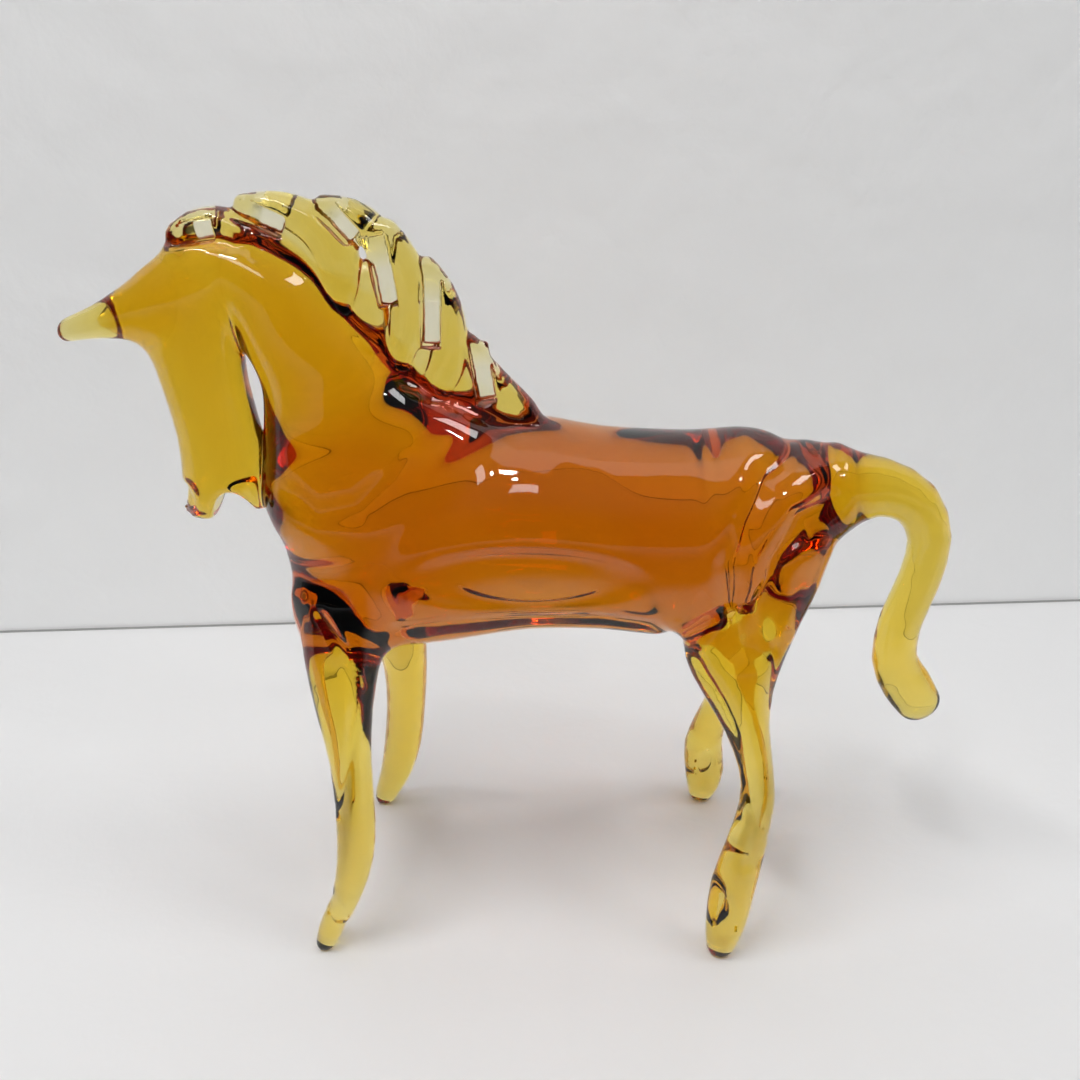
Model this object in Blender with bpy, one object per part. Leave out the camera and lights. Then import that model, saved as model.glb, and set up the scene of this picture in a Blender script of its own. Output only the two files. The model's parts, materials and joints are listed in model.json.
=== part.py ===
"""Hot-worked amber glass horse, free standing on four flat soles.

Units are metres with +Z up. The head points to -X, the horse's left side faces -Y, and the floor is Z = 0.
The origin is on the floor, under the middle of the whole figurine.
Every bit of glass is its own solid, seated on its neighbour across a small gap.
"""

import math

import bmesh
import bpy
import numpy as np

MM = 0.001
GAP = 0.3 * MM  # clearance between two bits of glass that sit on each other

# Driving dimensions, in millimetres.
FORE_SPREAD = (26.5, 31.0)  # from the middle plane to the middle of a sole, left and right
HIND_SPREAD = (28.5, 32.5)
HIP_SPREAD = 10.0  # from the middle plane to the top of a leg
LEG_TOP_HEIGHT = 92.0
BARREL_HEIGHT = 104.0  # axis of the body
BARREL_RADIUS = 24.5
NECK_ROOT_HEIGHT = 100.0
WEB_THICKNESS = 1.8  # pressed strip at the front of each lock of the mane
WEB_WIDTH = 4.6
MOUTH_WIDTH = 10.6
MOUTH_DEPTH = 8.8
CHIN_HEIGHT = 107.0
CAP_RINGS = 3  # rings in the rounded end of a limb

# How a ring of a limb is turned: flat on the floor, standing across the body, or square to the limb.
LEVEL, UPRIGHT, SQUARE = "level", "upright", "square"


def clear_scene():
    for item in list(bpy.data.objects):
        bpy.data.objects.remove(item, do_unlink=True)


def new_collection(name):
    group = bpy.data.collections.new(name)
    bpy.context.scene.collection.children.link(group)
    return group


def glass(name, colour):
    """A clear glass finish of the given linear colour."""
    material = bpy.data.materials.new(name)
    material.use_nodes = True
    shader = material.node_tree.nodes["Principled BSDF"]
    shader.inputs["Base Color"].default_value = (*colour, 1.0)
    shader.inputs["Roughness"].default_value = 0.03
    shader.inputs["Metallic"].default_value = 0.0
    shader.inputs["IOR"].default_value = 1.5
    shader.inputs["Transmission Weight"].default_value = 1.0
    return material


def spline(stations, steps):
    """Catmull-Rom curve through rows of numbers, with a number of steps between two rows."""
    rows = np.array(stations, dtype=float)
    first, last = 2 * rows[0] - rows[1], 2 * rows[-1] - rows[-2]
    rows = np.vstack([first, rows, last])
    out = []
    for a, b, c, d in zip(rows, rows[1:], rows[2:], rows[3:]):
        for t in np.arange(steps) / steps:
            cubic = 3 * (b - c) + d - a
            square = 2 * a - 5 * b + 4 * c - d
            out.append(b + 0.5 * t * (c - a + t * (square + t * cubic)))
    out.append(rows[-2])
    return np.array(out)


def round_end(rows, length):
    """Rows that close the last row of a limb with a half ellipse, and the tip that ends it."""
    along = rows[-1, :3] - rows[-2, :3]
    along /= np.linalg.norm(along)
    caps = []
    for angle in np.arange(1, CAP_RINGS + 1) * (math.pi / 2) / (CAP_RINGS + 1):
        centre = rows[-1, :3] + along * length * math.sin(angle)
        caps.append([*centre, *(rows[-1, 3:] * math.cos(angle))])
    return np.vstack([rows, caps]), rows[-1, :3] + along * length


def section_axis(turn, tangent):
    """Direction in the middle plane along which the first half width of a ring is measured."""
    if turn == LEVEL:
        return np.array([1.0, 0.0, 0.0])
    if turn == UPRIGHT:
        return np.array([0.0, 0.0, 1.0])
    axis = np.array([-tangent[2], 0.0, tangent[0]])
    return axis / np.linalg.norm(axis)


def ring(row, axis, sides, corner):
    """Points of a superellipse; a corner of 2 is an ellipse, and more is squarer."""
    angle = 2 * math.pi * np.arange(sides) / sides
    u, v = np.cos(angle), np.sin(angle)
    u = np.sign(u) * np.abs(u) ** (2 / corner)
    v = np.sign(v) * np.abs(v) ** (2 / corner)
    side = np.array([0.0, 1.0, 0.0])
    return row[:3] + np.outer(u * row[3], axis) + np.outer(v * row[4], side)


def loft_mesh(name, stations, turn, sides, steps, corner=2.0, ends=(0.8, 0.8), grow=0.0):
    """A limb through stations of x, y, z, half width in the middle plane and half width across it.

    ends holds the length of each rounded end, as a share of the end ring; None leaves that end flat.
    """
    rows = spline(stations, steps)
    rows[:, 3:] += grow
    tips = []
    for share in ends[::-1]:
        tip = None
        if share is not None:
            rows, tip = round_end(rows, share * rows[-1, 3:].mean())
        tips.insert(0, tip)
        rows = rows[::-1]
    centres = rows[:, :3]
    tangents = np.gradient(centres, axis=0)
    mesh = bmesh.new()
    rings = []
    for row, tangent in zip(rows, tangents):
        points = ring(row, section_axis(turn, tangent), sides, corner) * MM
        rings.append([mesh.verts.new(p) for p in points])
    for low, high in zip(rings, rings[1:]):
        for i in range(sides):
            j = (i + 1) % sides
            mesh.faces.new((low[i], low[j], high[j], high[i]))
    for tip, end in zip(tips, (rings[0], rings[-1])):
        if tip is None:
            mesh.faces.new(end)
            continue
        point = mesh.verts.new(tip * MM)
        for i in range(sides):
            mesh.faces.new((end[i], end[(i + 1) % sides], point))
    bmesh.ops.recalc_face_normals(mesh, faces=mesh.faces)
    data = bpy.data.meshes.new(name)
    mesh.to_mesh(data)
    mesh.free()
    return data


class Bit:
    """One bit of glass: a limb, and the slightly larger copy of it that cuts its neighbours.

    A bit without a colour is only a piece of another bit.
    """

    def __init__(self, name, colour, stations, turn, sides, steps, **shape):
        self.limb = (stations, turn, sides, steps)
        self.shape = shape
        self.name = name
        self.solver = "EXACT"
        self.cutter = None
        self.object = self.place(name, PARTS if colour else CUTTERS, 0.0)
        if colour:
            self.object.data.materials.append(glass(name + "_glass", colour))
        else:
            hide(self.object)

    def place(self, name, group, grow):
        data = loft_mesh(name, *self.limb, grow=grow, **self.shape)
        data.shade_smooth()
        data.set_sharp_from_angle(angle=math.radians(40))
        item = bpy.data.objects.new(name, data)
        item.parent = CENTRE
        group.objects.link(item)
        return item

    def grown(self):
        """The cutter that leaves the gap around this bit."""
        if self.cutter is None:
            self.cutter = self.place(self.name + "_clearance", CUTTERS, GAP / MM)
            hide(self.cutter)
        return self.cutter

    def boolean(self, other, operation):
        modifier = self.object.modifiers.new(other.name, "BOOLEAN")
        modifier.operation = operation
        modifier.solver = self.solver
        modifier.object = other

    def seat_on(self, *neighbours):
        for neighbour in neighbours:
            self.boolean(neighbour.grown(), "DIFFERENCE")


def hide(item):
    item.display_type = "WIRE"
    item.hide_render = True


def use_as_tool(item, name):
    """Files a new primitive with the cutters."""
    item.name = name
    item.parent = CENTRE
    for group in list(item.users_collection):
        group.objects.unlink(item)
    CUTTERS.objects.link(item)
    hide(item)


def upright_web(lock, x, z, length, lean):
    """Joins the thin strip, pressed flat, that the pincers left at the front of a lock."""
    bpy.ops.mesh.primitive_cube_add(size=1)
    web = bpy.context.object
    web.scale = (WEB_WIDTH * MM, WEB_THICKNESS * MM, length * MM)
    bpy.ops.object.transform_apply(location=False, rotation=False, scale=True)
    web.location = (x * MM, 0, z * MM)
    web.rotation_euler = (0, math.radians(lean), 0)
    use_as_tool(web, lock.name + "_web")
    lock.boolean(web, "UNION")


BODY_AMBER = (0.42, 0.13, 0.006)
LIMB_AMBER = (0.58, 0.30, 0.02)
MANE_AMBER = (0.75, 0.62, 0.22)


# Teeth of the crest: x, y, z and the two half widths at the root and at the tip.
TEETH = (
    ((-35.1, 0, 148.3, 5.6, 4.3), (-32.9, 0, 163.1, 2.7, 3.5)),
    ((-23.4, 0, 139.0, 3.0, 4.1), (-21.9, 0, 148.6, 1.8, 3.1)),
    ((-14.8, 0, 136.0, 3.2, 4.1), (-12.0, 0, 146.6, 1.8, 2.9)),
)


def torso():
    """Barrel from chest to croup."""
    height, radius = BARREL_HEIGHT, BARREL_RADIUS
    stations = [
        (-51.5, 0, height - 12.5, radius * 0.56, radius * 0.5),
        (-43, 0, height - 8.5, radius * 0.82, radius * 0.7),
        (-32, 0, height - 5.2, radius * 0.97, radius * 0.84),
        (-18, 0, height - 2.2, radius * 1.02, radius * 0.9),
        (0, 0, height + 1.5, radius * 1.04, radius * 0.93),
        (18, 0, height + 0.2, radius * 0.98, radius * 0.92),
        (38, 0, height - 1.4, radius * 1.01, radius * 0.88),
        (50, 0, height + 2.4, radius * 0.89, radius * 0.82),
        (61, 0, height + 6.2, radius * 0.68, radius * 0.68),
        (70, 0, height + 8.5, radius * 0.46, radius * 0.46),
    ]
    return Bit("torso", BODY_AMBER, stations, UPRIGHT, 44, 3, corner=2.1, ends=(0.35, 0.4))


def crest():
    """Ridge along the top of the neck, from poll to withers, and the teeth that rise from it between the locks."""
    stations = [
        (-58.0, 0, 170.4, 4.2, 4.2),
        (-52.5, 0, 168.8, 5.0, 4.2),
        (-45.8, 0, 164.2, 5.6, 4.0),
        (-40.5, 0, 156.0, 5.0, 4.0),
        (-33.6, 0, 147.7, 6.2, 4.0),
        (-25.5, 0, 139.8, 5.2, 4.0),
        (-16.5, 0, 135.5, 5.0, 4.0),
        (-6.5, 0, 131.4, 4.6, 4.0),
    ]
    ridge = [Bit("crest", None, stations, SQUARE, 16, 2)]
    for index, (low, high) in enumerate(TEETH):
        ridge.append(Bit(f"tooth_{index + 1}", None, [low, high], LEVEL, 14, 3))
    return ridge


def neck(body, ridge):
    """Deep, flattened neck that rises from the withers to the poll."""
    low = NECK_ROOT_HEIGHT
    stations = [
        (-36, 0, low, 19, 16),
        (-36, 0, low + 11, 24, 18.5),
        (-30, 0, low + 23, 29, 16.5),
        (-33, 0, low + 32, 25.5, 13.6),
        (-41, 0, low + 40, 17.4, 11.8),
        (-46.2, 0, low + 48, 14.8, 11),
        (-51.5, 0, low + 56, 12.4, 10),
        (-56, 0, low + 63, 11.8, 9.2),
        (-61.2, 0, low + 68, 9.2, 7.6),
    ]
    bit = Bit("neck", BODY_AMBER, stations, LEVEL, 40, 3, corner=2.3, ends=(0.4, 0.4))
    for piece in ridge:
        bit.boolean(piece.object, "UNION")
    bit.seat_on(body)
    return bit


def head(throat, ridge):
    """Long flat face that hangs from the poll, its lower end split by the open mouth."""
    stations = [
        (-68, 0, 168.5, 8, 7.5),
        (-69.5, 0, 163, 10, 9.2),
        (-71, 0, 157, 10.4, 9.5),
        (-71.7, 0, 148, 9.9, 9),
        (-70.9, 0, 139, 9.2, 8.5),
        (-69.3, 0, 128, 9.2, 8),
        (-69.2, 0, 117, 9.6, 7.5),
        (-70.4, 0, CHIN_HEIGHT + 3.5, 9.7, 6.6),
    ]
    bit = Bit("head", LIMB_AMBER, stations, LEVEL, 28, 2, corner=2.4, ends=(0.4, 0.4))
    bpy.ops.mesh.primitive_cylinder_add(vertices=20, radius=0.5, depth=1)
    mouth = bpy.context.object
    mouth.scale = (MOUTH_WIDTH * MM, 2.5 * MOUTH_DEPTH * MM, 40 * MM)
    mouth.rotation_euler = (math.pi / 2, 0, 0)
    mouth.location = (-67.2 * MM, 0, (CHIN_HEIGHT - 0.25 * MOUTH_DEPTH) * MM)
    use_as_tool(mouth, "mouth")
    bit.boolean(mouth, "DIFFERENCE")
    bit.seat_on(throat, *ridge)
    return bit


def ear(name, side, length, skull):
    """Pointed ear, laid forward; side is -1 on the horse's left."""
    root_x, root_z = -76.5, 158.2
    shape = [(0.0, 6.2, 5.0), (0.22, 5.4, 4.6), (0.45, 4.4, 3.9), (0.72, 2.8, 2.8), (1.0, 1.8, 1.8)]
    stations = [
        (root_x - length * t, side * (3.5 + 4.3 * t), root_z - 4.8 * t, high, wide)
        for t, high, wide in shape
    ]
    bit = Bit(name, LIMB_AMBER, stations, UPRIGHT, 14, 2, ends=(0.2, 0.9))
    bit.seat_on(skull)
    return bit


def tail(body):
    """Tail that arches off the croup, falls in an S and ends in a small flat paddle."""
    stations = [
        (64, 0, 113.4, 11.2, 11),
        (73.5, 0, 114, 9.4, 9.2),
        (82.5, 0, 114.4, 7.0, 7.0),
        (91, 0, 110.5, 5.8, 6.0),
        (95.6, 0, 101.5, 5.0, 5.4),
        (94.8, 0, 90.5, 4.9, 5.2),
        (91.9, 0, 79, 5.1, 5.2),
        (91.8, 0, 68.5, 5.5, 5.0),
        (95.8, 0, 61, 6.2, 4.6),
        (100, 0, 55, 5.6, 4.2),
    ]
    bit = Bit("tail", LIMB_AMBER, stations, SQUARE, 20, 2, ends=(0.2, 0.8))
    bit.seat_on(body)
    return bit


def leg(name, side, foot_spread, path, body):
    """Leg from inside the body to a flat sole; path holds height, x, and the two half widths."""
    stations = []
    for height, x, along, across in path:
        drop = max(0, 1 - height / LEG_TOP_HEIGHT)
        spread = HIP_SPREAD + (foot_spread - HIP_SPREAD) * math.sin(drop * math.pi / 2)
        stations.append((x, side * spread, height, along, across))
    bit = Bit(name, LIMB_AMBER, stations, LEVEL, 20, 2, ends=(0.5, None))
    bit.seat_on(body)
    return bit


LEFT_FORELEG = [
    (LEG_TOP_HEIGHT, -41.8, 11.2, 8.5),
    (78, -42.9, 9.2, 8.0),
    (65, -43.0, 6.8, 6.4),
    (52, -42.0, 5.0, 5.0),
    (37, -41.4, 4.8, 4.8),
    (26, -42.1, 4.5, 4.4),
    (16, -44.6, 3.8, 3.8),
    (6, -49.0, 3.4, 3.8),
    (0, -51.2, 2.4, 3.0),
]
RIGHT_FORELEG = [
    (LEG_TOP_HEIGHT, -38, 11, 8.5),
    (78, -36.4, 9.4, 8.0),
    (65, -34.4, 7.2, 6.6),
    (52, -33.8, 6.0, 5.4),
    (37, -34.8, 5.5, 5.0),
    (22, -36.8, 5.4, 4.8),
    (11, -39.4, 4.7, 4.4),
    (4, -42.2, 3.8, 4.0),
    (0, -43.6, 2.6, 3.0),
]
LEFT_HIND_LEG = [
    (LEG_TOP_HEIGHT + 12, 56.5, 12.6, 8.6),
    (95, 54.3, 13.5, 9.2),
    (86, 51, 13.0, 9.4),
    (78, 48.8, 11.8, 8.8),
    (70, 49.7, 8.6, 7.4),
    (61, 52.4, 5.8, 6.0),
    (51, 55, 4.6, 4.9),
    (42, 55.6, 4.5, 4.6),
    (32, 53.4, 4.9, 4.6),
    (21, 50.9, 5.6, 4.8),
    (10, 49.7, 5.1, 4.8),
    (3, 48.9, 3.9, 4.0),
    (0, 48.5, 2.8, 3.0),
]
RIGHT_HIND_LEG = [
    (LEG_TOP_HEIGHT + 12, 56, 12.4, 8.6),
    (95, 54.4, 13.6, 9.2),
    (86, 51.6, 13.4, 9.2),
    (76, 50.2, 10.2, 8.2),
    (64, 51.4, 6.4, 6.4),
    (50, 53.4, 4.4, 4.8),
    (40, 54.6, 3.8, 4.4),
    (31, 52.8, 4.5, 4.6),
    (21, 51.4, 5.5, 4.8),
    (11, 52.4, 5.8, 4.8),
    (4, 52.4, 4.6, 4.4),
    (0, 51.8, 2.8, 3.0),
]


def lock(name, stations, web, neighbours):
    """One pulled lock of the mane with its pressed web; neighbours are the bits it sits against."""
    bit = Bit(name, MANE_AMBER, stations, SQUARE, 12, 2, corner=2.2, ends=(0.7, 0.5))
    bit.solver = "MANIFOLD"  # EXACT fails where the rings of a lock and of the crest meet in the middle plane
    upright_web(bit, *web)
    bit.seat_on(*neighbours)
    return bit


def mane(body, throat, ridge, skull):
    """Six locks along the crest, from the brow to the withers."""
    base = (body, throat, *ridge, skull)
    forelock = lock(
        "forelock",
        [(-73.3, 0, 171.8, 1.8, 3.0), (-69.4, 0, 173.4, 3.0, 4.2), (-64, 0, 174.0, 3.5, 4.8),
         (-59.8, 0, 172.4, 3.6, 5.0), (-57.2, 0, 168.6, 2.8, 4.6)],
        (-68.6, 172.5, 10.4, 81),
        base,
    )
    first = lock(
        "mane_lock_1",
        [(-58.4, 0, 178.0, 1.8, 3.0), (-52.5, 0, 177.7, 2.8, 4.2), (-47.4, 0, 176.0, 3.6, 5.0),
         (-42.4, 0, 172.4, 4.4, 5.6), (-39.6, 0, 167.0, 4.6, 5.8), (-38.8, 0, 161.2, 4.0, 5.4),
         (-40.0, 0, 156.8, 2.8, 4.4)],
        (-54.2, 175.4, 11.5, 114),
        (*base, forelock),
    )
    second = lock(
        "mane_lock_2",
        [(-41.6, 0, 177.9, 1.8, 3.0), (-36.4, 0, 176.1, 3.0, 4.4), (-31.6, 0, 172.2, 3.6, 5.0),
         (-29.4, 0, 167.0, 3.4, 5.0), (-29.8, 0, 162.4, 2.4, 4.2)],
        (-38.0, 174.0, 11, 138),
        (*base, first),
    )
    third = lock(
        "mane_lock_3",
        [(-28.4, 0, 172.6, 2.0, 3.2), (-25.8, 0, 167.2, 3.2, 4.6), (-24.6, 0, 160, 3.8, 5.2),
         (-25.0, 0, 153, 3.8, 5.4), (-26.6, 0, 147.4, 3.2, 4.8), (-28.4, 0, 143.4, 2.2, 3.8)],
        (-30.0, 164.5, 15.6, 172),
        (*base, second),
    )
    fourth = lock(
        "mane_lock_4",
        [(-20.6, 0, 165.4, 1.7, 3.0), (-17.8, 0, 160.0, 2.8, 4.2), (-16.3, 0, 154, 3.4, 5.0),
         (-16.3, 0, 147.6, 3.9, 5.6), (-17.8, 0, 142.2, 4.0, 5.8), (-19.8, 0, 138.8, 3.4, 5.2)],
        (-20.6, 157.0, 17, 182),
        (*base, third),
    )
    fifth = lock(
        "mane_lock_5",
        [(-12.0, 0, 148.6, 1.6, 2.8), (-8.4, 0, 142.2, 2.8, 4.2), (-4.2, 0, 136.8, 3.4, 4.8),
         (0.0, 0, 132.8, 3.0, 4.4), (2.4, 0, 129.0, 2.2, 3.6)],
        (-9.4, 142.0, 13, 171),
        (*base, fourth),
    )
    return [forelock, first, second, third, fourth, fifth]


def centre_on_origin():
    """Moves the empty that carries every bit, so that the figurine's box is centred over the origin."""
    graph = bpy.context.evaluated_depsgraph_get()
    corners = [corner for item in PARTS.objects for corner in item.evaluated_get(graph).bound_box]
    low, high = np.min(corners, axis=0), np.max(corners, axis=0)
    CENTRE.location = (-(low[0] + high[0]) / 2, -(low[1] + high[1]) / 2, 0)


clear_scene()
PARTS = new_collection("glass_horse")
CUTTERS = new_collection("cutters")
CENTRE = bpy.data.objects.new("centre", None)
CUTTERS.objects.link(CENTRE)

body = torso()
ridge = crest()
throat = neck(body, ridge)
skull = head(throat, ridge)
ear("left_ear", -1, 19.2, skull)
ear("right_ear", 1, 13.5, skull)
tail(body)
leg("left_foreleg", -1, FORE_SPREAD[0], LEFT_FORELEG, body)
leg("right_foreleg", 1, FORE_SPREAD[1], RIGHT_FORELEG, body)
leg("left_hind_leg", -1, HIND_SPREAD[0], LEFT_HIND_LEG, body)
leg("right_hind_leg", 1, HIND_SPREAD[1], RIGHT_HIND_LEG, body)
mane(body, throat, ridge, skull)
centre_on_origin()
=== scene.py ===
"""Looks for the glass horse: one fused skin over the CAD bits, cut back into its bits, in clear amber."""

import json
import math

import bmesh
import bpy
import numpy as np
import openvdb as vdb
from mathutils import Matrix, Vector


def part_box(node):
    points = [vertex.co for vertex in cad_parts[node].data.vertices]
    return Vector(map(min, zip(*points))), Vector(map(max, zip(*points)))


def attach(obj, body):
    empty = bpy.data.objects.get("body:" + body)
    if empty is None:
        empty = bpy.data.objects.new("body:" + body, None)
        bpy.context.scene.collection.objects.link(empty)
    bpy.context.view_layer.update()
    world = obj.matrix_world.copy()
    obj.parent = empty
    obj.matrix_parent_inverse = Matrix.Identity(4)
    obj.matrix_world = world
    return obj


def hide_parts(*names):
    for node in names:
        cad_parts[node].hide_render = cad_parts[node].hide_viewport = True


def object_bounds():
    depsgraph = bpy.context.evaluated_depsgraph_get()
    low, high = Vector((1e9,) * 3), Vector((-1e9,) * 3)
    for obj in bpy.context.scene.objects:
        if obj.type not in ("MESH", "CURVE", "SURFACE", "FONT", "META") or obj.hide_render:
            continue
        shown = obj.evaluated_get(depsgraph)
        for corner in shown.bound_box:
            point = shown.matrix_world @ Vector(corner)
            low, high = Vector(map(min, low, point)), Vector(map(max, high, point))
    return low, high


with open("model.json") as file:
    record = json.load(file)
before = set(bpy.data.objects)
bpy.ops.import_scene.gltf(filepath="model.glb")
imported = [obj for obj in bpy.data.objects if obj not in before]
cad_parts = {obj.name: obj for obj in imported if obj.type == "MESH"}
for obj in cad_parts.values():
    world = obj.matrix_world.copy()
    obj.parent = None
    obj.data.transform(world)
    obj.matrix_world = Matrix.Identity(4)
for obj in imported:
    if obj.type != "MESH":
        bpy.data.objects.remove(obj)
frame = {"nodes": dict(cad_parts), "record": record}
CAD_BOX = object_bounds()

MM = 0.001  # fields and marks are in millimetres, Blender's objects in metres
VOXEL = 0.6
BAND = 6.0  # how far a distance field reaches from its surface
MARGIN = 8.0  # empty space around the horse in the field
SLIT = 0.002  # gap left where two bits touch, far too thin to see

LEGS = ("left_foreleg", "right_foreleg", "left_hind_leg", "right_hind_leg")
EARS = ("left_ear", "right_ear")
LIMBS = ("head", "tail", *EARS, *LEGS)
MANE = ("forelock", "mane_lock_1", "mane_lock_2", "mane_lock_3", "mane_lock_4", "mane_lock_5")

# Radius over which a bit melts into the glass already there, in the order that they are worked on.
MELT = {"torso": 0.0, "neck": 6.0, "head": 2.5, "tail": 6.0}
MELT.update({name: 7.0 for name in EARS})
MELT.update({name: 6.0 for name in LEGS})
LOCK_MELT = 2.0  # lock to lock
MANE_MELT = 2.8  # mane to neck
EAR_PUFF = 0.7  # how much fuller the ears are than their CAD solids

# Blur that takes the flats of the CAD bits away, and how far from a limb or the mane the lighter ones hold.
BODY_BLUR, LIMB_BLUR, MANE_BLUR = 1.8, 0.9, 0.45
LIMB_REACH, MANE_REACH = 4.0, 3.0

# Prints of the pincer's jaws, pressed from both sides. Each has the two ends of its
# middle line, as shares of the lock's box.
PRINT_WIDTH = 4.6
PRINT_TOP, PRINT_FOOT = 3.2, 0.8  # half of what is left of the lock at the top and in the lower half
PRINT_RIM = 0.5  # rounding of the rim
PRINTS = {
    "forelock": ((0.09, 0.30), (0.60, 0.47)),
    "mane_lock_1": ((0.04, 0.88), (0.41, 0.71)),
    "mane_lock_2": ((0.07, 0.94), (0.46, 0.54)),
    "mane_lock_3": ((-0.12, 0.93), (0.12, 0.42)),
    "mane_lock_4": ((0.24, 0.98), (0.18, 0.36)),
    "mane_lock_5": ((0.11, 1.03), (0.26, 0.25)),
}

BOTH, LEFT, RIGHT = 0, -1, 1  # sides of the horse that a mark is on

# Creases pulled in the hot glass. A path is points along a crease, as shares of the bit's box.
# A crease is a bit, a side, a depth, a half width and a path.
THIGH_FRONT = ((0.90, 0.90), (0.83, 0.84), (0.79, 0.69), (0.77, 0.52), (0.78, 0.34), (0.80, 0.15))
THIGH_BACK = ((0.95, 0.73), (0.89, 0.69), (0.85, 0.52), (0.83, 0.34), (0.84, 0.13))
SHOULDER = ((0.23, 0.95), (0.20, 0.86), (0.15, 0.75), (0.08, 0.71), (0.04, 0.76))
BELLY = ((0.20, 0.20), (0.29, 0.24), (0.42, 0.26), (0.56, 0.26), (0.65, 0.22), (0.70, 0.10))
FORELEG = ((0.37, 0.96), (0.61, 0.88), (0.68, 0.73), (0.56, 0.55), (0.46, 0.43))
SHANK_FRONT = ((0.10, 0.74), (0.28, 0.66), (0.41, 0.58), (0.49, 0.47), (0.55, 0.36), (0.51, 0.27))
SHANK_BACK = ((0.62, 0.78), (0.60, 0.63), (0.65, 0.53), (0.72, 0.42), (0.69, 0.33))
CREASES = (
    ("torso", BOTH, 1.6, 3.2, THIGH_FRONT),
    ("torso", BOTH, 1.4, 2.8, THIGH_BACK),
    ("torso", LEFT, 0.8, 3.0, SHOULDER),
    ("torso", BOTH, 1.2, 2.4, BELLY),
    ("left_foreleg", LEFT, 0.7, 1.4, FORELEG),
    ("left_hind_leg", LEFT, 0.9, 1.6, SHANK_FRONT),
    ("left_hind_leg", LEFT, 0.6, 1.4, SHANK_BACK),
)

# Shallow dents left by the tools: bit, side, depth, middle as shares of the bit's box, and half sizes.
DENT_RIM = 4  # power that sets how sharp a rim is
DENTS = (
    ("torso", LEFT, 1.6, (0.43, 0.46), (25.0, 8.0)),
    ("torso", RIGHT, 3.0, (0.43, 0.34), (24.0, 7.0)),
    ("torso", RIGHT, 1.2, (0.43, 0.34), (15.0, 4.0)),
    ("head", BOTH, 1.2, (0.18, 0.09), (2.6, 4.0)),
    ("left_foreleg", LEFT, 0.5, (0.34, 0.12), (2.4, 6.0)),
    ("left_hind_leg", LEFT, 1.0, (0.36, 0.13), (2.6, 7.0)),
    ("right_hind_leg", RIGHT, 1.0, (0.45, 0.14), (2.6, 6.0)),
)

SNAPS = 3  # steps that move the skin's points onto the field's zero
LEAST_SLOPE = 0.05  # square of the field's slope below which a step is held back

# Each bit that is cut from the skin in turn, with the neighbours that bound it. The torso is what stays.
CUTS = (
    ("tail", ("torso",)),
    *((name, ("torso",)) for name in LEGS),
    ("mane_lock_5", ("torso", "neck", "mane_lock_4")),
    ("neck", ("torso",)),
)
# The neck comes off with the head and mane on it, and these are cut from that block.
FRONT_CUTS = (
    *((name, ("head",)) for name in EARS),
    ("mane_lock_4", ("neck", "mane_lock_3")),
    ("mane_lock_3", ("neck", "mane_lock_2")),
    ("mane_lock_2", ("neck", "mane_lock_1")),
    ("mane_lock_1", ("neck", "forelock")),
    ("forelock", ("neck", "head")),
    ("head", ("neck",)),
)
AROUND = 5.0  # glass this close to a neighbour decides where their seam lies
TOUCH_COUNT = 20  # voxels that each of two bits needs there to share a seam
REACH = 5.0  # how far a bit's own glass can stand past its CAD solid
CAP_DEPTH = 0.1  # a face this deep in the glass is part of a cut
CAP_TURN = 0.8  # so is one turned further from the skin than this cosine
SEAM = "seam"  # face attribute that marks the cuts

# The glass: how strongly each material slot absorbs, per metre, and the colour that it spares.
GLASS_IOR = 1.5
AMBER = (0.96, 0.835, 0.0)
GLASSES = {"body_glass": 265, "limb_glass": 235, "mane_glass": 200}

# The stage, in metres.
STAGE_WIDTH, STAGE_DEPTH = 4.0, 2.0
FLOOR_Z = -0.00013  # the glass is this much fuller than the CAD under the toes
FLOOR_COLOUR = (0.8, 0.8, 0.8)
FLOOR_GLOW = 0.35
GLOW_SPAN = (0.25, 1.1)  # from the origin, over which the floor's painted glow grows, a painted light that keeps the far floor pale
PAPER_EDGE = (-0.16, -0.09)  # along the view, where the floor before the horse turns to painted shade for all but camera rays
PAINTED_SHADE_FLOOR = (0.03, 0.03, 0.03)
WALL_Y, WALL_HEIGHT = 0.143, 1.2
WALL_TURN = 0.06  # how far the wall swings back for each metre to the right
WALL_COLOUR = (0.9, 0.905, 0.9)
WALL_GLOW = 0.12
WALL_FACING = (0.30, 0.31)  # how squarely the camera must face the wall for it to stand
CORNER_SHADE_HEIGHT = 0.0008  # painted shade: a dark line where the wall meets the floor
CORNER_SHADE_COLOUR = (0.45, 0.45, 0.44)

# Crumple of the paper: strengths, folds per metre, detail, twist and height.
FLOOR_CRUMPLE, WALL_CRUMPLE, NO_CRUMPLE = 0.15, 0.4, 0.0
CRUMPLE_SCALE, CRUMPLE_DETAIL, CRUMPLE_TWIST, CRUMPLE_HEIGHT = 36, 6, 0.2, 0.004
PAPER_ROUGHNESS = 0.6

# The room: its light beyond the horse, overhead and behind the camera, and where each gives way to the next.
ROOM_PALE = (0.6, 0.605, 0.6, 1)
ROOM_CEILING = (0.16, 0.16, 0.17, 1)
ROOM_DARK = (0.03, 0.03, 0.035, 1)
ROOM_SPAN = (-0.35, 0.35)  # share of a direction that lies along the view
CEILING_SPAN = (0.25, 0.8)  # share of a direction that points up

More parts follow.
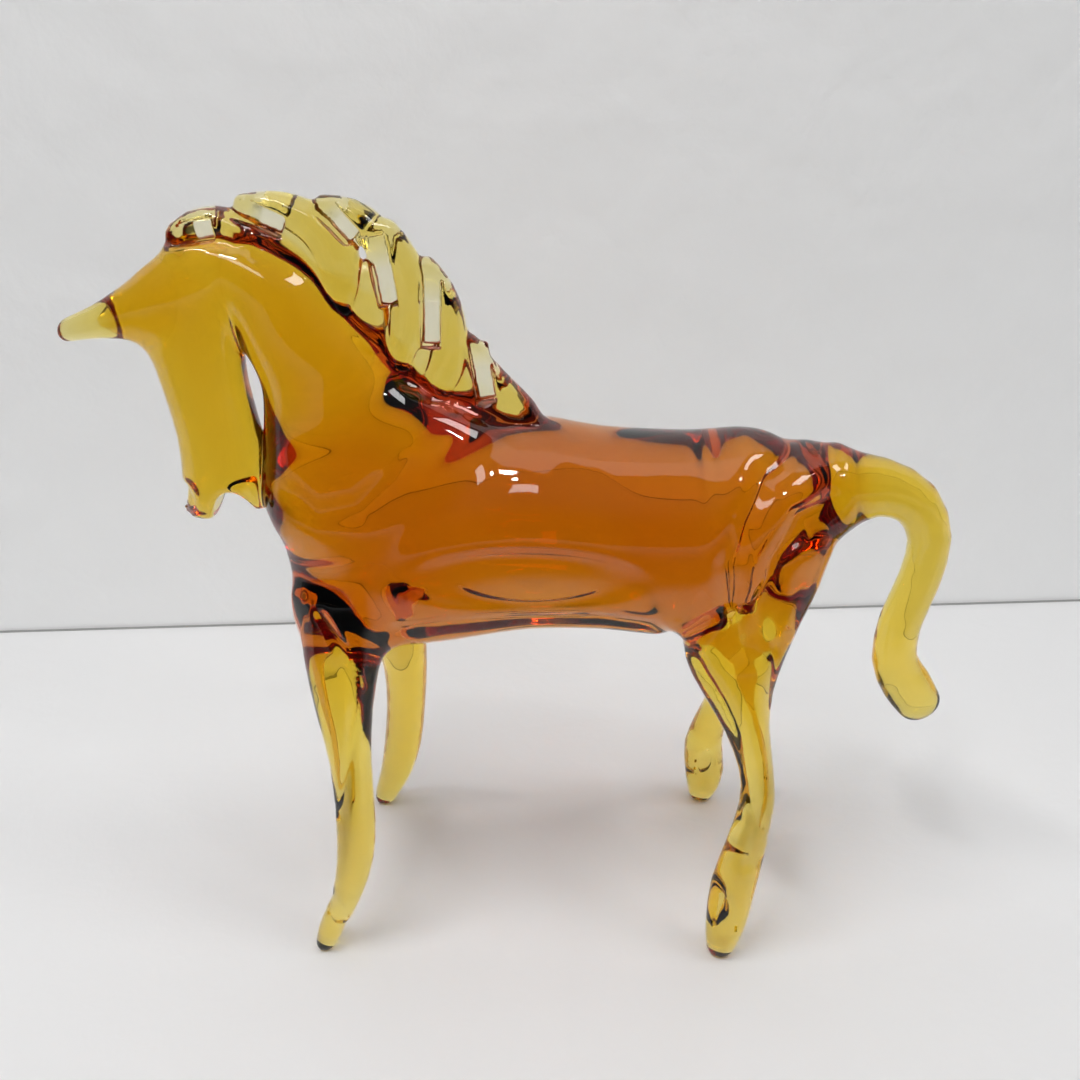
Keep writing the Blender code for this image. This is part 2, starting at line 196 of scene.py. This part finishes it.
# Lamps under the ceiling: place, width and depth in metres, and power in watts.
LAMP_AIM = (0.0, 0.02, 0.08)
LAMPS = (
    ("key_lamp", (-0.30, -0.20, 0.90), (0.40, 0.06), 2.8),
    ("right_lamp", (0.55, -0.10, 1.00), (0.30, 0.20), 1.9),
    ("front_lamp", (-0.10, -0.90, 1.10), (0.40, 0.20), 1.6),
    ("fill_lamp", (0.05, 0.00, 1.30), (0.90, 0.60), 2.2),
    ("spark_lamp", (-0.12, -0.30, 0.60), (0.03, 0.03), 0.25),
    ("side_spark_lamp", (0.35, -0.35, 0.70), (0.03, 0.03), 0.25),
)

# The camera: degrees above level, metres away, and what it looks at as shares of the length and height.
CAMERA_TILT = 25
CAMERA_DISTANCE = 0.257
CAMERA_LENS, CAMERA_SENSOR = 36.1, 36
NEAREST_SEEN = 0.01
AIM_X, AIM_Z = -0.003, 0.559

GLASS_BOUNCES, CLEAR_BOUNCES = 40, 16


# ---------------------------------------------------------------- distance fields

def mesh_arrays(name):
    """Corners in millimetres and triangles of a CAD node, with coincident corners joined."""
    mesh = frame["nodes"][name].data
    points = np.empty(len(mesh.vertices) * 3, np.float32)
    mesh.vertices.foreach_get("co", points)
    mesh.calc_loop_triangles()
    corners = np.empty(len(mesh.loop_triangles) * 3, np.int32)
    mesh.loop_triangles.foreach_get("vertices", corners)
    points, joined = np.unique(np.round(points.reshape(-1, 3) / MM, 4), axis=0, return_inverse=True)
    return points.astype(np.float32), joined.reshape(-1)[corners].reshape(-1, 3).astype(np.uint32)


class Space:
    """The block of voxels that every field shares."""

    def __init__(self):
        low, high = (np.array(corner) / MM for corner in CAD_BOX)
        self.first = np.floor((low - MARGIN) / VOXEL).astype(int)
        self.last = np.ceil((high + MARGIN) / VOXEL).astype(int)
        self.shape = tuple(self.last - self.first + 1)
        self.transform = vdb.createLinearTransform(voxelSize=VOXEL)

    def window(self, low, high):
        """The voxels that cover a box in millimetres, and their slices of a field."""
        start = np.maximum(np.floor(low / VOXEL).astype(int), self.first)
        stop = np.minimum(np.ceil(high / VOXEL).astype(int) + 1, self.last)
        return start, stop, tuple(slice(a, b) for a, b in zip(start - self.first, stop - self.first))

    def axes(self):
        """The x, y and z of the voxels, shaped to spread over a field."""
        x, y, z = (np.arange(a, b + 1) * VOXEL for a, b in zip(self.first, self.last))
        return x[:, None, None], y[None, :, None], z[None, None, :]


class Distance:
    """Signed distance to one CAD bit, negative inside, kept only around that bit."""

    def __init__(self, name, space):
        self.points, triangles = mesh_arrays(name)
        grid = vdb.FloatGrid.createLevelSetFromPolygons(
            self.points, triangles=triangles, transform=space.transform, halfWidth=BAND / VOXEL
        )
        low, high = self.points.min(axis=0) - BAND, self.points.max(axis=0) + BAND
        self.start, stop, self.slices = space.window(low, high)
        self.values = np.full(tuple(stop - self.start), BAND, np.float32)
        grid.copyToArray(self.values, ijk=tuple(int(i) for i in self.start))

    def at(self, points):
        return sample(self.values, self.start, points)

    def inside(self, low, high):
        """The voxels inside this bit and inside a box, as points in millimetres."""
        points = (np.argwhere(self.values < 0) + self.start) * VOXEL
        return points[np.all((points >= low) & (points <= high), axis=1)]


def sample(values, start, points):
    """Trilinear value of a field at points in millimetres; points outside it read as far away."""
    place = points / VOXEL - start
    cell = np.floor(place).astype(int)
    inside = np.all((cell >= 0) & (cell < np.array(values.shape) - 1), axis=1)
    cell[~inside] = 0
    part = (place - cell).astype(np.float32)
    total = np.zeros(len(points), np.float32)
    for corner in np.ndindex(2, 2, 2):
        weight = np.prod(np.where(corner, part, 1 - part), axis=1)
        i, j, k = (cell + corner).T
        total += weight * values[i, j, k]
    total[~inside] = BAND
    return total


def melt(a, b, radius):
    """The lower of two fields, rounded where they meet."""
    if radius == 0:
        return np.minimum(a, b)
    near = np.maximum(radius - np.abs(a - b), 0) / radius
    return np.minimum(a, b) - near * near * radius / 4


def gaussian(field, width):
    reach = int(math.ceil(3 * width / VOXEL))
    offsets = np.arange(-reach, reach + 1)
    weights = np.exp(-0.5 * (offsets * VOXEL / width) ** 2)
    weights = (weights / weights.sum()).astype(np.float32)
    for axis in range(3):
        length = field.shape[axis]
        padding = [(reach, reach) if n == axis else (0, 0) for n in range(3)]
        padded = np.pad(field, padding, mode="edge")
        out = np.zeros_like(field)
        for n, weight in enumerate(weights):
            out += weight * padded[(slice(None),) * axis + (slice(n, n + length),)]
        field = out
    return field


def blur(field, width):
    """Gaussian blur of a field, with a second pass that gives back the size the first one takes."""
    once = gaussian(field, width)
    return 2 * once - gaussian(once, width)


def joined(space, bits, recipe):
    """One field for some bits, from rows of name, melting radius and puff."""
    field = np.full(space.shape, BAND, np.float32)
    for name, radius, puff in recipe:
        bit = bits[name]
        field[bit.slices] = melt(field[bit.slices], bit.values - puff, radius)
    return field


def fused_field(space, bits):
    """One field for the whole horse, with its bits melted together and smoothed."""
    order = [(name, radius, EAR_PUFF if name in EARS else 0) for name, radius in MELT.items()]
    body = joined(space, bits, order)
    mane = joined(space, bits, [(name, LOCK_MELT, 0) for name in MANE])
    horse = melt(body, mane, MANE_MELT)
    limbs = joined(space, bits, [(name, 0, 0) for name in LIMBS])
    ears = joined(space, bits, [(name, 0, 0) for name in EARS])
    limb_share = np.clip(1 - limbs / LIMB_REACH, 0, 1)
    mane_share = np.clip(1 - np.minimum(mane, ears) / MANE_REACH, 0, 1)
    smooth = limb_share * blur(horse, LIMB_BLUR) + (1 - limb_share) * blur(horse, BODY_BLUR)
    return mane_share * blur(horse, MANE_BLUR) + (1 - mane_share) * smooth


# ---------------------------------------------------------------- tool marks

def middle_y(name):
    """Where the middle of a bit lies across the horse, in millimetres."""
    return sum(corner.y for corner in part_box(name)) / 2 / MM


def place_in(name, share):
    """A point of the middle plane, x and z in millimetres, from shares of a bit's box."""
    low, high = (np.array(corner)[[0, 2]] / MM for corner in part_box(name))
    return low + np.array(share) * (high - low)


def along_line(x, z, start, end):
    """How far points of the middle plane lie along a line and to its side, and how long the line is."""
    length = np.linalg.norm(end - start)
    across, up = (end - start) / length
    along = (x - start[0]) * across + (z - start[1]) * up
    aside = (z - start[1]) * across - (x - start[0]) * up
    return along, aside, length


def near_path(x, z, path):
    """Distance in the middle plane to a path through points."""
    nearest = np.full(np.broadcast(x, z).shape, np.inf)
    for start, end in zip(path, path[1:]):
        along, aside, length = along_line(x, z, start, end)
        beyond = np.maximum(np.maximum(-along, along - length), 0)
        nearest = np.minimum(nearest, np.hypot(beyond, aside))
    return nearest


def on_side(side, y):
    """1 on one side of the middle plane and 0 on the other; 1 everywhere for both sides."""
    if side == BOTH:
        return 1.0
    return np.clip(0.5 + side * (y - middle_y("torso")) / 2, 0, 1)


def crease(x, y, z, name, side, depth, width, shares):
    """How deep a crease is at each voxel."""
    path = [place_in(name, share) for share in shares]
    return depth * np.exp(-((near_path(x, z, path) / width) ** 2)) * on_side(side, y)


def dent(x, y, z, name, side, depth, share, size):
    """How deep a dent is at each voxel."""
    middle = place_in(name, share)
    reach = ((x - middle[0]) / size[0]) ** 2 + ((z - middle[1]) / size[1]) ** 2
    return depth * np.exp(-(reach ** DENT_RIM)) * on_side(side, y)


def jaws(x, y, z, name, shares):
    """The room that a pair of pincer jaws takes on both sides of a lock, as a field."""
    along, aside, length = along_line(x, z, *(place_in(name, share) for share in shares))
    left = PRINT_TOP + (PRINT_FOOT - PRINT_TOP) * np.clip(2 * along / length, 0, 1)
    outline = np.maximum(np.abs(aside) - PRINT_WIDTH / 2, np.abs(along - length / 2) - length / 2)
    return np.maximum(outline, left - np.abs(y - middle_y(name)))


def press_tools(field, space):
    """Leaves the marks of the tools in a field."""
    axes = space.axes()
    for mark in CREASES:
        field = field + crease(*axes, *mark)
    for mark in DENTS:
        field = field + dent(*axes, *mark)
    for name, shares in PRINTS.items():
        field = -melt(-field, jaws(*axes, name, shares), PRINT_RIM)
    return field.astype(np.float32)


# ---------------------------------------------------------------- skin

def slope(field, space, points):
    """Gradient of the field at points."""
    out = np.empty((len(points), 3), np.float32)
    for axis in range(3):
        shift = np.zeros(3)
        shift[axis] = VOXEL
        ahead = sample(field, space.first, points + shift)
        behind = sample(field, space.first, points - shift)
        out[:, axis] = (ahead - behind) / (2 * VOXEL)
    return out


def outward(field, space, points):
    """Direction out of the glass at points."""
    out = slope(field, space, points)
    return out / np.linalg.norm(out, axis=1, keepdims=True)


def skin_mesh(field, space):
    """The fused surface as a mesh in metres, its points moved exactly onto the field's zero."""
    grid = vdb.FloatGrid(BAND)
    grid.transform = space.transform
    grid.copyFromArray(field, ijk=tuple(int(i) for i in space.first), tolerance=0.0)
    points, quads = grid.convertToQuads(isovalue=0.0)
    for _ in range(SNAPS):
        gradient = slope(field, space, points)
        size = np.maximum((gradient ** 2).sum(axis=1), LEAST_SLOPE)
        points = points - gradient * (sample(field, space.first, points) / size)[:, None]
    mesh = bpy.data.meshes.new("skin")
    mesh.from_pydata((points * MM).tolist(), [], quads.tolist())
    return mesh


# ---------------------------------------------------------------- cutting the skin into its bits

def seam(bit, other):
    """Plane that best parts two bits' glass near where they meet: a point, and a normal into the bit."""
    low, high = bit.points.min(axis=0) - AROUND, bit.points.max(axis=0) + AROUND
    own, its = bit.inside(low, high), other.inside(low, high)
    own = own[other.at(own) < AROUND]
    its = its[bit.at(its) < AROUND]
    if min(len(own), len(its)) < TOUCH_COUNT:
        return None
    both = np.vstack([own, its])
    centre = both.mean(axis=0)
    side = np.r_[np.ones(len(own)), -np.ones(len(its))]
    weight = np.sqrt(np.r_[np.full(len(own), 1 / len(own)), np.full(len(its), 1 / len(its))])
    columns = np.column_stack([both - centre, np.ones(len(both))])
    fit = np.linalg.lstsq(columns * weight[:, None], side * weight, rcond=None)[0]
    size = np.linalg.norm(fit[:3])
    normal = fit[:3] / size
    return centre - normal * fit[3] / size, normal


def region(name, planes, low, high, grow):
    """A convex cutter: the box from low to high, kept on the near side of each plane."""
    solid = bmesh.new()
    bmesh.ops.create_cube(solid, size=1)
    middle, size = (low + high) / 2, high - low
    bmesh.ops.scale(solid, vec=Vector(size + 2 * grow), verts=solid.verts)
    bmesh.ops.translate(solid, vec=Vector(middle), verts=solid.verts)
    for centre, normal in planes:
        everything = solid.verts[:] + solid.edges[:] + solid.faces[:]
        place = Vector(centre - grow * normal)
        bmesh.ops.bisect_plane(
            solid, geom=everything, plane_co=place, plane_no=Vector(normal), clear_inner=True
        )
        rim = [edge for edge in solid.edges if edge.is_boundary]
        bmesh.ops.contextual_create(solid, geom=rim)
    bmesh.ops.recalc_face_normals(solid, faces=solid.faces)
    bmesh.ops.scale(solid, vec=Vector((MM,) * 3), verts=solid.verts)
    mesh = bpy.data.meshes.new(name)
    solid.to_mesh(mesh)
    solid.free()
    return mesh


def boolean(mesh, cutter, operation):
    """The mesh cut by the cutter, as a new mesh."""
    target = bpy.data.objects.new("target", mesh)
    tool = bpy.data.objects.new("tool", cutter)
    for item in (target, tool):
        bpy.context.scene.collection.objects.link(item)
    modifier = target.modifiers.new("cut", "BOOLEAN")
    modifier.operation, modifier.solver, modifier.object = operation, "MANIFOLD", tool
    evaluated = target.evaluated_get(bpy.context.evaluated_depsgraph_get())
    result = bpy.data.meshes.new_from_object(evaluated)
    for item in (target, tool):
        bpy.data.objects.remove(item)
    return result


def keep_to_its_side(low, high, side):
    """Ends the box of one of a pair at the middle plane of the head."""
    middle = middle_y("head")
    if side < middle:
        high[1] = middle
    else:
        low[1] = middle


def peel(skin, cuts, bits):
    """Cuts bits from the skin one by one; returns their meshes and what is left."""
    meshes = {}
    for name, neighbours in cuts:
        bit = bits[name]
        planes = [seam(bit, bits[other]) for other in neighbours]
        planes = [plane for plane in planes if plane]
        block = [bit] + [bits[other] for other, _ in FRONT_CUTS if name == "neck"]
        low = np.min([part.points.min(axis=0) for part in block], axis=0) - REACH
        high = np.max([part.points.max(axis=0) for part in block], axis=0) + REACH
        if name in EARS:
            keep_to_its_side(low, high, bit.points.mean(axis=0)[1])
        near = region(name + "_near", planes, low, high, 0.0)
        wide = region(name + "_wide", planes, low, high, SLIT)
        meshes[name] = boolean(skin, near, "INTERSECT")
        skin = boolean(skin, wide, "DIFFERENCE")
    return meshes, skin


def cut_into_bits(skin, bits):
    meshes, torso = peel(skin, CUTS, bits)
    front, neck = peel(meshes["neck"], FRONT_CUTS, bits)
    return {**meshes, **front, "neck": neck, "torso": torso}


def read(items, key, kind, width):
    """An attribute of a mesh's points, corners or faces as an array."""
    values = np.empty(len(items) * width, kind)
    items.foreach_get(key, values)
    return values.reshape(-1, width) if width > 1 else values


def finish_bit(name, mesh, field, space):
    """Marks the cut faces of a bit and gives the rest the normals of the fused skin."""
    centres = read(mesh.polygons, "center", np.float32, 3) / MM
    facing = read(mesh.polygons, "normal", np.float32, 3)
    turn = (facing * outward(field, space, centres)).sum(axis=1)
    cap = (sample(field, space.first, centres) < -CAP_DEPTH) | (turn < CAP_TURN)
    mesh.attributes.new(SEAM, "FLOAT", "FACE").data.foreach_set("value", cap.astype(np.float32))
    mesh.polygons.foreach_set("use_smooth", ~cap)

    normals = outward(field, space, read(mesh.vertices, "co", np.float32, 3) / MM)
    corners = read(mesh.loops, "vertex_index", np.int32, 1)
    totals = read(mesh.polygons, "loop_total", np.int32, 1)
    of_face = np.repeat(np.arange(len(totals)), totals)
    split = np.where(cap[of_face, None], facing[of_face], normals[corners])
    mesh.normals_split_custom_set(split.tolist())

    piece = bpy.data.objects.new(name + "_glass", mesh)
    bpy.context.scene.collection.objects.link(piece)
    return piece


# ---------------------------------------------------------------- materials

def new_material(name):
    """A material with its nodes, its links and its main shader."""
    material = bpy.data.materials.new(name)
    material.use_nodes = True
    tree = material.node_tree
    return material, tree.nodes, tree.links, tree.nodes["Principled BSDF"]


def glass(name, density):
    """Clear glass that absorbs light with depth; a cut face inside it bends nothing."""
    material, nodes, links, shader = new_material(name)
    shader.inputs["Base Color"].default_value = (1, 1, 1, 1)
    shader.inputs["Roughness"].default_value = 0.0
    shader.inputs["IOR"].default_value = GLASS_IOR
    shader.inputs["Transmission Weight"].default_value = 1.0

    seam_mark = nodes.new("ShaderNodeAttribute")
    seam_mark.attribute_name = SEAM
    ior = nodes.new("ShaderNodeMapRange")
    ior.inputs["To Min"].default_value = GLASS_IOR
    ior.inputs["To Max"].default_value = 1.0
    links.new(seam_mark.outputs["Fac"], ior.inputs["Value"])
    links.new(ior.outputs["Result"], shader.inputs["IOR"])

    depth = nodes.new("ShaderNodeVolumeAbsorption")
    depth.inputs["Color"].default_value = (*AMBER, 1)
    depth.inputs["Density"].default_value = density
    links.new(depth.outputs["Volume"], nodes["Material Output"].inputs["Volume"])
    return material


def along_view(nodes, links, place):
    """How far a direction or a point lies along the way the camera looks."""
    forward = nodes.new("ShaderNodeVectorTransform")
    forward.vector_type, forward.convert_from, forward.convert_to = "VECTOR", "CAMERA", "WORLD"
    forward.inputs["Vector"].default_value = (0, 0, 1)
    dot = nodes.new("ShaderNodeVectorMath")
    dot.operation = "DOT_PRODUCT"
    links.new(place, dot.inputs[0])
    links.new(forward.outputs["Vector"], dot.inputs[1])
    return dot.outputs["Value"]


def step_between(nodes, links, value, low, high):
    """A soft step from 0 at low to 1 at high."""
    step = nodes.new("ShaderNodeMapRange")
    step.interpolation_type = "SMOOTHSTEP"
    step.inputs["From Min"].default_value = low
    step.inputs["From Max"].default_value = high
    links.new(value, step.inputs["Value"])
    return step.outputs["Result"]


def paper(name, colour, crumple):
    """Matt pale paper, faintly crumpled."""
    material, nodes, links, shader = new_material(name)
    shader.inputs["Roughness"].default_value = PAPER_ROUGHNESS
    shader.inputs["Base Color"].default_value = (*colour, 1)
    shader.inputs["Emission Color"].default_value = (1, 1, 1, 1)
    place = nodes.new("ShaderNodeTexCoord")
    noise = nodes.new("ShaderNodeTexNoise")
    noise.inputs["Scale"].default_value = CRUMPLE_SCALE
    noise.inputs["Detail"].default_value = CRUMPLE_DETAIL
    noise.inputs["Distortion"].default_value = CRUMPLE_TWIST
    bump = nodes.new("ShaderNodeBump")
    bump.inputs["Strength"].default_value = crumple
    bump.inputs["Distance"].default_value = CRUMPLE_HEIGHT
    links.new(place.outputs["Object"], noise.inputs["Vector"])
    links.new(noise.outputs["Fac"], bump.inputs["Height"])
    links.new(bump.outputs["Normal"], shader.inputs["Normal"])
    return material


def floor_paper():
    """Paper with painted shade before the horse for all but camera rays, and a painted glow that keeps it
    pale where lamps don't reach.
    """
    material = paper("floor_paper", FLOOR_COLOUR, FLOOR_CRUMPLE)
    nodes, links = material.node_tree.nodes, material.node_tree.links
    shader = nodes["Principled BSDF"]
    spot = nodes.new("ShaderNodeNewGeometry").outputs["Position"]

    # Painted shade: every ray but the camera's sees the floor before the horse dark.
    ray = nodes.new("ShaderNodeLightPath")
    lit = nodes.new("ShaderNodeMath")
    lit.operation = "MAXIMUM"
    links.new(step_between(nodes, links, along_view(nodes, links, spot), *PAPER_EDGE), lit.inputs[0])
    links.new(ray.outputs["Is Camera Ray"], lit.inputs[1])
    tone = nodes.new("ShaderNodeMix")
    tone.data_type = "RGBA"
    tone.inputs["A"].default_value = (*PAINTED_SHADE_FLOOR, 1)
    tone.inputs["B"].default_value = (*FLOOR_COLOUR, 1)
    links.new(lit.outputs["Value"], tone.inputs["Factor"])
    links.new(tone.outputs["Result"], shader.inputs["Base Color"])

    # Painted light: the floor glows more the further it lies from the horse.
    away = nodes.new("ShaderNodeVectorMath")
    away.operation = "LENGTH"
    links.new(spot, away.inputs[0])
    glow = nodes.new("ShaderNodeMath")
    glow.operation = "MULTIPLY"
    glow.inputs[1].default_value = FLOOR_GLOW
    links.new(step_between(nodes, links, away.outputs["Value"], *GLOW_SPAN), glow.inputs[0])
    links.new(glow.outputs["Value"], shader.inputs["Emission Strength"])
    return material


def wall_paper(name, colour, crumple, glow):
    """Paper that is there only for a camera that faces it."""
    material = paper(name, colour, crumple)
    nodes, links = material.node_tree.nodes, material.node_tree.links
    shader = nodes["Principled BSDF"]
    shader.inputs["Emission Strength"].default_value = glow
    back = nodes.new("ShaderNodeCombineXYZ")
    back.inputs["Y"].default_value = 1
    facing = along_view(nodes, links, back.outputs["Vector"])
    clear = nodes.new("ShaderNodeBsdfTransparent")
    mix = nodes.new("ShaderNodeMixShader")
    links.new(step_between(nodes, links, facing, *WALL_FACING), mix.inputs["Fac"])
    links.new(clear.outputs["BSDF"], mix.inputs[1])
    links.new(shader.outputs["BSDF"], mix.inputs[2])
    links.new(mix.outputs["Shader"], nodes["Material Output"].inputs["Surface"])
    return material


# ---------------------------------------------------------------- stage

def stage_sheet(name, corners, material):
    """A flat sheet of the stage from its four corners, in metres."""
    mesh = bpy.data.meshes.new(name)
    mesh.from_pydata(corners, [], [(0, 1, 2, 3)])
    mesh.materials.append(material)
    sheet = bpy.data.objects.new(name, mesh)
    bpy.context.scene.collection.objects.link(sheet)


def upright_sheet(name, near, height, material):
    """A sheet that stands on the floor as wide as the stage, some way before the wall's place."""
    wide = STAGE_WIDTH / 2
    left, right = (WALL_Y + end * WALL_TURN * wide - near for end in (-1, 1))
    foot = [(-wide, left, FLOOR_Z), (wide, right, FLOOR_Z)]
    top = [(wide, right, height), (-wide, left, height)]
    stage_sheet(name, foot + top, material)


def stage():
    wide, deep, low = STAGE_WIDTH / 2, STAGE_DEPTH, FLOOR_Z
    corners = [(-wide, -deep, low), (wide, -deep, low), (wide, deep, low), (-wide, deep, low)]
    stage_sheet("floor", corners, floor_paper())
    upright_sheet("wall", 0, WALL_HEIGHT, wall_paper("wall_paper", WALL_COLOUR, WALL_CRUMPLE, WALL_GLOW))
    # Painted shade: a thin dark strip along the foot of the wall.
    corner_shade = wall_paper("corner_shade_paper", CORNER_SHADE_COLOUR, NO_CRUMPLE, 0)
    upright_sheet("corner_shade", CORNER_SHADE_HEIGHT, CORNER_SHADE_HEIGHT, corner_shade)


def area_lamp(name, place, size, power):
    light = bpy.data.lights.new(name, "AREA")
    light.shape = "RECTANGLE"
    light.size, light.size_y = size
    light.energy = power
    lamp = bpy.data.objects.new(name, light)
    lamp.location = place
    lamp.rotation_euler = (Vector(LAMP_AIM) - Vector(place)).to_track_quat("-Z", "Y").to_euler()
    bpy.context.scene.collection.objects.link(lamp)


def room():
    """Soft grey room: pale beyond the horse, dim overhead and dark behind the camera."""
    world = bpy.data.worlds.new("room")
    world.use_nodes = True
    bpy.context.scene.world = world
    nodes, links = world.node_tree.nodes, world.node_tree.links
    way = nodes.new("ShaderNodeTexCoord").outputs["Generated"]
    split = nodes.new("ShaderNodeSeparateXYZ")
    links.new(way, split.inputs["Vector"])
    level = nodes.new("ShaderNodeMix")
    level.data_type = "RGBA"
    level.inputs["A"].default_value = ROOM_DARK
    level.inputs["B"].default_value = ROOM_PALE
    links.new(step_between(nodes, links, along_view(nodes, links, way), *ROOM_SPAN), level.inputs["Factor"])
    dim = nodes.new("ShaderNodeMix")
    dim.data_type = "RGBA"
    dim.inputs["B"].default_value = ROOM_CEILING
    links.new(step_between(nodes, links, split.outputs["Z"], *CEILING_SPAN), dim.inputs["Factor"])
    links.new(level.outputs["Result"], dim.inputs["A"])
    links.new(dim.outputs["Result"], nodes["Background"].inputs["Color"])


def camera():
    """A little above the horse's back, on its left side, close enough for strong perspective."""
    low, high = CAD_BOX
    aim = Vector((AIM_X * (high.x - low.x), middle_y("torso") * MM, AIM_Z * high.z))
    lens = bpy.data.cameras.new("camera")
    lens.sensor_width, lens.lens = CAMERA_SENSOR, CAMERA_LENS
    lens.clip_start = NEAREST_SEEN
    item = bpy.data.objects.new("camera", lens)
    tilt = math.radians(CAMERA_TILT)
    item.location = aim + CAMERA_DISTANCE * Vector((0, -math.cos(tilt), math.sin(tilt)))
    item.rotation_euler = (math.pi / 2 - tilt, 0, 0)
    bpy.context.scene.collection.objects.link(item)
    bpy.context.scene.camera = item


# ---------------------------------------------------------------- build

def build_horse():
    space = Space()
    bits = {name: Distance(name, space) for name in frame["nodes"]}
    field = press_tools(fused_field(space, bits), space)
    meshes = cut_into_bits(skin_mesh(field, space), bits)
    slots = {item["node"]: item["material_slot"] for item in frame["record"]["subparts"]}
    finishes = {slot: glass(slot, density) for slot, density in GLASSES.items()}
    for name, mesh in meshes.items():
        piece = finish_bit(name, mesh, field, space)
        piece.data.materials.clear()
        piece.data.materials.append(finishes[slots[name]])
        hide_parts(name)
        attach(piece, "root")


build_horse()
stage()
room()
for lamp in LAMPS:
    area_lamp(*lamp)
camera()

cycles = bpy.context.scene.cycles
cycles.max_bounces = cycles.transmission_bounces = GLASS_BOUNCES
cycles.transparent_max_bounces = CLEAR_BOUNCES
bpy.context.scene.view_settings.view_transform = "Standard"
